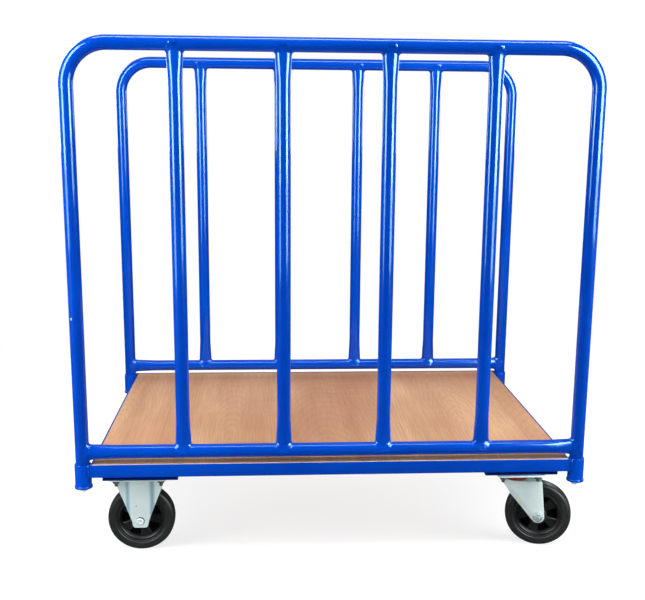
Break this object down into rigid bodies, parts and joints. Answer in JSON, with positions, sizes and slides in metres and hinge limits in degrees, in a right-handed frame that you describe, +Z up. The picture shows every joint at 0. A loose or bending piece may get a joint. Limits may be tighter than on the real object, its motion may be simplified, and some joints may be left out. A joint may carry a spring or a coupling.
{
  "type": "long goods trolley",
  "caption": "Platform trolley with a plywood deck, two tall tubular side frames with upright bars, fixed casters at one end and swivel casters at the other, for long and flat goods.",
  "frame": {"origin": "on the floor under the middle of the deck", "axes": "+X along the deck towards the swivel casters, +Y across it to the rear side frame, +Z up"},
  "size_m": [1.2106, 0.8416, 1.1996],
  "materials": {
    "blue_paint": "gloss powder coat",
    "plywood": "satin lacquered plywood",
    "zinc": "bright zinc plate",
    "dark_steel": "oiled steel",
    "tyre_rubber": "matte rubber",
    "black_plastic": "moulded",
    "red_seal": "moulded"
  },
  "bodies": {
    "chassis": {"deck_board": "plywood", "deck_bearer": "blue_paint", "front_angle": "blue_paint", "rear_angle": "blue_paint", "left_angle": "blue_paint", "right_angle": "blue_paint", "left_caster_channel": "blue_paint", "right_caster_channel": "blue_paint", "front_hoop": "blue_paint", "front_bottom_rail": "blue_paint", "front_bar_1": "blue_paint", "front_bar_2": "blue_paint", "front_bar_3": "blue_paint", "front_bar_4": "blue_paint", "front_left_socket": "blue_paint", "front_left_post_bolt": "zinc", "front_right_socket": "blue_paint", "front_right_post_bolt": "zinc", "front_left_bracket": "zinc", "front_left_axle": "zinc", "front_right_top_plate": "zinc", "front_right_kingpin": "zinc", "front_right_ball_race": "dark_steel", "front_right_seal_ring": "red_seal", "rear_hoop": "blue_paint", "rear_bottom_rail": "blue_paint", "rear_bar_1": "blue_paint", "rear_bar_2": "blue_paint", "rear_bar_3": "blue_paint", "rear_bar_4": "blue_paint", "rear_left_socket": "blue_paint", "rear_left_post_bolt": "zinc", "rear_right_socket": "blue_paint", "rear_right_post_bolt": "zinc", "rear_left_bracket": "zinc", "rear_left_axle": "zinc", "rear_right_top_plate": "zinc", "rear_right_kingpin": "zinc", "rear_right_ball_race": "dark_steel", "rear_right_seal_ring": "red_seal"},
    "front_right_swivel_fork": {"front_right_fork": "zinc", "front_right_axle_bolt": "zinc", "front_right_axle_nut": "zinc", "front_right_axle_sleeve": "zinc"},
    "front_left_wheel": {"front_left_tyre": "tyre_rubber", "front_left_rim": "black_plastic", "front_left_bearing": "dark_steel"},
    "front_right_wheel": {"front_right_tyre": "tyre_rubber", "front_right_rim": "black_plastic", "front_right_bearing": "dark_steel"},
    "rear_right_swivel_fork": {"rear_right_fork": "zinc", "rear_right_axle_bolt": "zinc", "rear_right_axle_nut": "zinc", "rear_right_axle_sleeve": "zinc"},
    "rear_left_wheel": {"rear_left_tyre": "tyre_rubber", "rear_left_rim": "black_plastic", "rear_left_bearing": "dark_steel"},
    "rear_right_wheel": {"rear_right_tyre": "tyre_rubber", "rear_right_rim": "black_plastic", "rear_right_bearing": "dark_steel"}
  },
  "joints": [
    {"name": "front_left_wheel_spin", "type": "hinge", "parent": "chassis", "child": "front_left_wheel", "pos_m": [-0.46, -0.342, 0.08], "axis": [0, 1, 0], "continuous": true},
    {"name": "front_right_swivel", "type": "hinge", "parent": "chassis", "child": "front_right_swivel_fork", "pos_m": [0.4535, -0.342, 0.18], "axis": [0, 0, 1], "continuous": true},
    {"name": "front_right_wheel_spin", "type": "hinge", "parent": "front_right_swivel_fork", "child": "front_right_wheel", "pos_m": [0.51049, -0.35727, 0.08], "axis": [0.2588, 0.9659, 0], "continuous": true},
    {"name": "rear_left_wheel_spin", "type": "hinge", "parent": "chassis", "child": "rear_left_wheel", "pos_m": [-0.46, 0.342, 0.08], "axis": [0, 1, 0], "continuous": true},
    {"name": "rear_right_swivel", "type": "hinge", "parent": "chassis", "child": "rear_right_swivel_fork", "pos_m": [0.4535, 0.342, 0.18], "axis": [0, 0, 1], "continuous": true},
    {"name": "rear_right_wheel_spin", "type": "hinge", "parent": "rear_right_swivel_fork", "child": "rear_right_wheel", "pos_m": [0.51049, 0.32673, 0.08], "axis": [0.2588, 0.9659, 0], "continuous": true}
  ]
}
